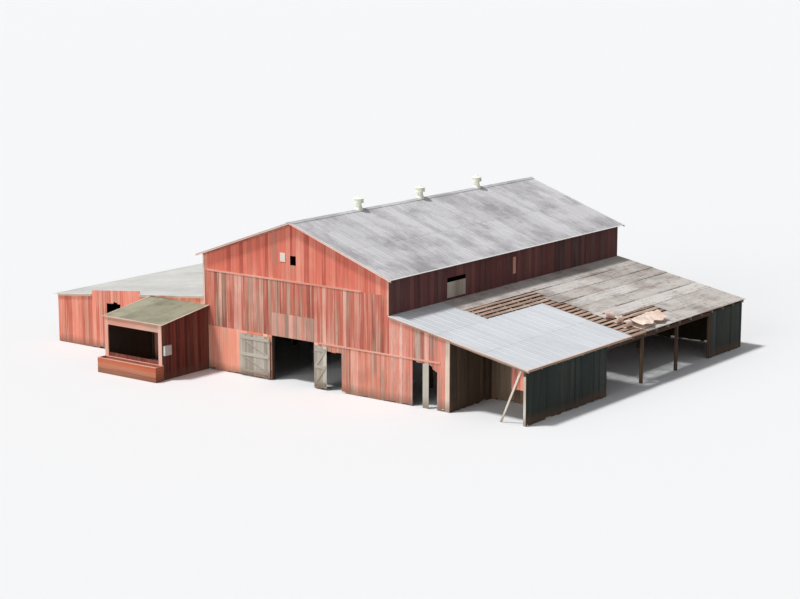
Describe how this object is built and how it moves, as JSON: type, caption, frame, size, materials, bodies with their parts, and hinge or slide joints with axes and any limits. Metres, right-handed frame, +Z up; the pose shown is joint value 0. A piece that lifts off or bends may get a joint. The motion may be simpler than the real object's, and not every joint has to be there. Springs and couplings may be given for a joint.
{
  "type": "barn",
  "caption": "Weathered red timber barn with a gable roof, ridge ventilators, a lean-to on each side, a small front shed and a pair of plank swing doors.",
  "frame": {"origin": "on the ground under the middle of the whole building", "axes": "+Z up, the front gable faces -Y, +X runs to the right along the front"},
  "size_m": [31.75, 25.95, 9.0326],
  "materials": {
    "bare_timber": "bare, rough and weathered",
    "red_boards": "flat red paint, faded and chalky",
    "pale_red_boards": "thin red paint over pale wood",
    "dark_red_boards": "flat red paint, less faded",
    "grey_boards": "bare, weathered grey",
    "pale_trim": "old white paint with a pink cast",
    "white_paint": "white paint",
    "grey_sheets": "dull, with darker blotches",
    "white_sheets": "newer, pale and even",
    "rusty_sheets": "old, dull, brown-grey",
    "bent_sheet": "old and bent, pinkish",
    "shed_sheets": "dull, grey-green",
    "vent_white": "pale cream paint",
    "box_white": "white paint",
    "hinge_iron": "rusty iron"
  },
  "bodies": {
    "building": {"curled_sheet": "bent_sheet", "door_head_boards": "pale_red_boards", "door_pintles": "hinge_iron", "feed_bunk": "red_boards", "front_gable_boards": "red_boards", "front_girts": "bare_timber", "front_lower_boards": "red_boards", "front_upper_boards": "red_boards", "left_beams": "bare_timber", "left_boards": "red_boards", "left_front_boards": "red_boards", "left_posts": "bare_timber", "left_rafters": "bare_timber", "left_roof": "white_sheets", "left_roof_purlins": "bare_timber", "left_trim": "pale_trim", "loft_shutter": "white_paint", "main_braces": "bare_timber", "main_plates": "bare_timber", "main_posts": "bare_timber", "main_purlins": "bare_timber", "main_rafters": "bare_timber", "main_rear_boards": "red_boards", "main_roof": "grey_sheets", "main_side_boards": "dark_red_boards", "main_ties": "bare_timber", "main_trim": "pale_trim", "queen_posts": "bare_timber", "ridge_cap": "grey_sheets", "ridge_ventilators": "vent_white", "right_beams": "bare_timber", "right_corner_post": "pale_trim", "right_cross_wall": "dark_red_boards", "right_door_board": "grey_boards", "right_front_boards": "pale_red_boards", "right_new_sheets": "white_sheets", "right_old_sheets": "rusty_sheets", "right_partition": "bare_timber", "right_posts": "bare_timber", "right_rafters": "bare_timber", "right_rear_boards": "red_boards", "right_sheathing": "bare_timber", "right_side_boards": "dark_red_boards", "right_trim": "pale_trim", "shed_boards": "dark_red_boards", "shed_frame": "bare_timber", "shed_rafters": "bare_timber", "shed_roof": "shed_sheets", "shed_trim": "pale_trim", "side_hatch_panel": "grey_boards", "utility_box": "box_white"},
    "left_leaf": {"left_leaf_boards": "grey_boards", "left_leaf_ledges": "grey_boards", "left_leaf_hinges": "hinge_iron"},
    "right_leaf": {"right_leaf_boards": "grey_boards", "right_leaf_ledges": "grey_boards", "right_leaf_hinges": "hinge_iron"}
  },
  "joints": [
    {"name": "left_door_swing", "type": "hinge", "parent": "building", "child": "left_leaf", "pos_m": [0.145, -8.945, 0.45], "axis": [0, 0, 1], "range_deg": [0, 180]},
    {"name": "right_door_swing", "type": "hinge", "parent": "building", "child": "right_leaf", "pos_m": [3.045, -8.945, 0.45], "axis": [0, 0, -1], "range_deg": [0, 180]}
  ]
}
